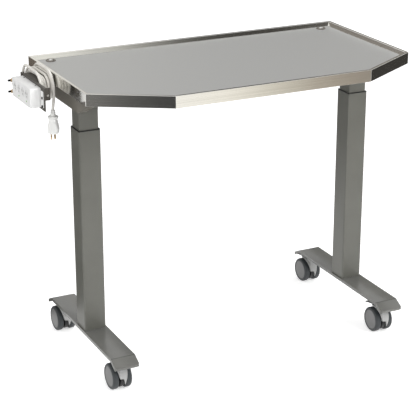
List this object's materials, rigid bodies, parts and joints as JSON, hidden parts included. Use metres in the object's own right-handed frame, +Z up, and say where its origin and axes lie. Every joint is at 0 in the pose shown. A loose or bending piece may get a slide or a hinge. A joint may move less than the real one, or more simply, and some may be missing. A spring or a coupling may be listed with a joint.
{
  "type": "mobile instrument table",
  "caption": "Height-adjustable mobile instrument table with a marine-edged tray, cut front corners, twin-wheel casters and an outlet strip with its wound cord.",
  "frame": {"origin": "on the floor under the middle of the table's box, measured without the cord", "axes": "+X along the tray towards the end without the outlet strip, +Y towards the back edge, +Z up"},
  "size_m": [1.268, 0.6924, 1.0086],
  "materials": {
    "tray_steel": "fine satin grain, folded sheet",
    "column_paint": "semi-gloss powder coat",
    "foot_paint": "gloss powder coat",
    "bracket_paint": "dark olive-grey powder coat",
    "black_plastic": "moulded, fine texture",
    "motor_paint": "satin paint",
    "zinc_steel": "turned and zinc plated",
    "chrome": "polished",
    "caster_plastic": "moulded light grey nylon",
    "hub_plastic": "moulded light grey disc",
    "tyre_rubber": "dark grey soft tread",
    "strip_plastic": "moulded white ABS",
    "outlet_plastic": "moulded pale grey nylon",
    "lamp_green": "tinted lens",
    "black_screw": "black oxide",
    "brass": "turned and lightly tarnished",
    "cord_pvc": "extruded white PVC jacket",
    "plug_pvc": "moulded white PVC"
  },
  "bodies": {
    "left_leg": {"left_foot": "foot_paint", "left_outer_tube": "column_paint", "left_collar": "black_plastic", "left_lift_nut": "brass", "left_caster_stems": "zinc_steel"},
    "top": {"tray": "tray_steel", "stud_nuts": "zinc_steel", "corner_cups": "chrome", "tray_channels": "tray_steel", "side_brackets": "bracket_paint", "cross_beam": "bracket_paint", "inner_tubes": "column_paint", "lift_drives": "motor_paint", "control_box": "black_plastic", "strip_bracket": "bracket_paint", "strip_body": "strip_plastic", "outlets": "outlet_plastic", "strip_lamps": "lamp_green", "strip_screws": "black_screw", "ground_posts": "brass", "strain_relief": "plug_pvc", "cord_lead": "cord_pvc", "cord_winding": "cord_pvc", "plug_body": "plug_pvc", "plug_blades": "brass"},
    "right_leg": {"right_foot": "foot_paint", "right_outer_tube": "column_paint", "right_collar": "black_plastic", "right_lift_nut": "brass", "right_caster_stems": "zinc_steel"},
    "button_up": {"button_up": "outlet_plastic"},
    "button_down": {"button_down": "outlet_plastic"},
    "front_left_caster": {"front_left_caster_housing": "caster_plastic", "front_left_axle": "zinc_steel"},
    "front_left_pedal": {"front_left_brake_pedal": "black_plastic"},
    "front_left_wheel_1": {"front_left_tyre_1": "tyre_rubber", "front_left_hub_1": "hub_plastic"},
    "front_left_wheel_2": {"front_left_tyre_2": "tyre_rubber", "front_left_hub_2": "hub_plastic"},
    "front_right_caster": {"front_right_caster_housing": "caster_plastic", "front_right_axle": "zinc_steel"},
    "front_right_pedal": {"front_right_brake_pedal": "black_plastic"},
    "front_right_wheel_1": {"front_right_tyre_1": "tyre_rubber", "front_right_hub_1": "hub_plastic"},
    "front_right_wheel_2": {"front_right_tyre_2": "tyre_rubber", "front_right_hub_2": "hub_plastic"},
    "back_left_caster": {"back_left_caster_housing": "caster_plastic", "back_left_axle": "zinc_steel"},
    "back_left_pedal": {"back_left_brake_pedal": "black_plastic"},
    "back_left_wheel_1": {"back_left_tyre_1": "tyre_rubber", "back_left_hub_1": "hub_plastic"},
    "back_left_wheel_2": {"back_left_tyre_2": "tyre_rubber", "back_left_hub_2": "hub_plastic"},
    "back_right_caster": {"back_right_caster_housing": "caster_plastic", "back_right_axle": "zinc_steel"},
    "back_right_pedal": {"back_right_brake_pedal": "black_plastic"},
    "back_right_wheel_1": {"back_right_tyre_1": "tyre_rubber", "back_right_hub_1": "hub_plastic"},
    "back_right_wheel_2": {"back_right_tyre_2": "tyre_rubber", "back_right_hub_2": "hub_plastic"}
  },
  "joints": [
    {"name": "lift", "type": "slide", "parent": "left_leg", "child": "top", "axis": [0, 0, 1], "range_m": [-0.055, 0.3]},
    {"name": "right_lift", "type": "slide", "parent": "top", "child": "right_leg", "axis": [0, 0, 1], "range_m": [-0.3, 0.055]},
    {"name": "press_down", "type": "slide", "parent": "top", "child": "button_down", "axis": [0, 0, 1], "range_m": [0, 0.002], "stiffness_N_per_m": 500, "springref_m": -0.002},
    {"name": "press_up", "type": "slide", "parent": "top", "child": "button_up", "axis": [0, 0, 1], "range_m": [0, 0.002], "stiffness_N_per_m": 500, "springref_m": -0.002},
    {"name": "front_left_swivel", "type": "hinge", "parent": "left_leg", "child": "front_left_caster", "pos_m": [-0.446, -0.23975, 0.088], "axis": [0, 0, 1], "continuous": true},
    {"name": "front_left_brake", "type": "hinge", "parent": "front_left_caster", "child": "front_left_pedal", "pos_m": [-0.446, -0.19675, 0.094], "axis": [-1, 0, 0], "range_deg": [0, 16]},
    {"name": "front_left_wheel_1_spin", "type": "hinge", "parent": "front_left_caster", "child": "front_left_wheel_1", "pos_m": [-0.446, -0.21475, 0.044], "axis": [1, 0, 0], "continuous": true},
    {"name": "front_left_wheel_2_spin", "type": "hinge", "parent": "front_left_caster", "child": "front_left_wheel_2", "pos_m": [-0.446, -0.21475, 0.044], "axis": [1, 0, 0], "continuous": true},
    {"name": "front_right_swivel", "type": "hinge", "parent": "right_leg", "child": "front_right_caster", "pos_m": [0.554, -0.23975, 0.088], "axis": [0, 0, 1], "continuous": true},
    {"name": "front_right_brake", "type": "hinge", "parent": "front_right_caster", "child": "front_right_pedal", "pos_m": [0.554, -0.19675, 0.094], "axis": [-1, 0, 0], "range_deg": [0, 16]},
    {"name": "front_right_wheel_1_spin", "type": "hinge", "parent": "front_right_caster", "child": "front_right_wheel_1", "pos_m": [0.554, -0.21475, 0.044], "axis": [1, 0, 0], "continuous": true},
    {"name": "front_right_wheel_2_spin", "type": "hinge", "parent": "front_right_caster", "child": "front_right_wheel_2", "pos_m": [0.554, -0.21475, 0.044], "axis": [1, 0, 0], "continuous": true},
    {"name": "back_left_swivel", "type": "hinge", "parent": "left_leg", "child": "back_left_caster", "pos_m": [-0.446, 0.26225, 0.088], "axis": [0, 0, 1], "continuous": true},
    {"name": "back_left_brake", "type": "hinge", "parent": "back_left_caster", "child": "back_left_pedal", "pos_m": [-0.446, 0.30525, 0.094], "axis": [-1, 0, 0], "range_deg": [0, 16]},
    {"name": "back_left_wheel_1_spin", "type": "hinge", "parent": "back_left_caster", "child": "back_left_wheel_1", "pos_m": [-0.446, 0.28725, 0.044], "axis": [1, 0, 0], "continuous": true},
    {"name": "back_left_wheel_2_spin", "type": "hinge", "parent": "back_left_caster", "child": "back_left_wheel_2", "pos_m": [-0.446, 0.28725, 0.044], "axis": [1, 0, 0], "continuous": true},
    {"name": "back_right_swivel", "type": "hinge", "parent": "right_leg", "child": "back_right_caster", "pos_m": [0.554, 0.26225, 0.088], "axis": [0, 0, 1], "continuous": true},
    {"name": "back_right_brake", "type": "hinge", "parent": "back_right_caster", "child": "back_right_pedal", "pos_m": [0.554, 0.30525, 0.094], "axis": [-1, 0, 0], "range_deg": [0, 16]},
    {"name": "back_right_wheel_1_spin", "type": "hinge", "parent": "back_right_caster", "child": "back_right_wheel_1", "pos_m": [0.554, 0.28725, 0.044], "axis": [1, 0, 0], "continuous": true},
    {"name": "back_right_wheel_2_spin", "type": "hinge", "parent": "back_right_caster", "child": "back_right_wheel_2", "pos_m": [0.554, 0.28725, 0.044], "axis": [1, 0, 0], "continuous": true}
  ],
  "couplings": [
    {"joint": "right_lift", "follows": "lift", "ratio": -1}
  ]
}
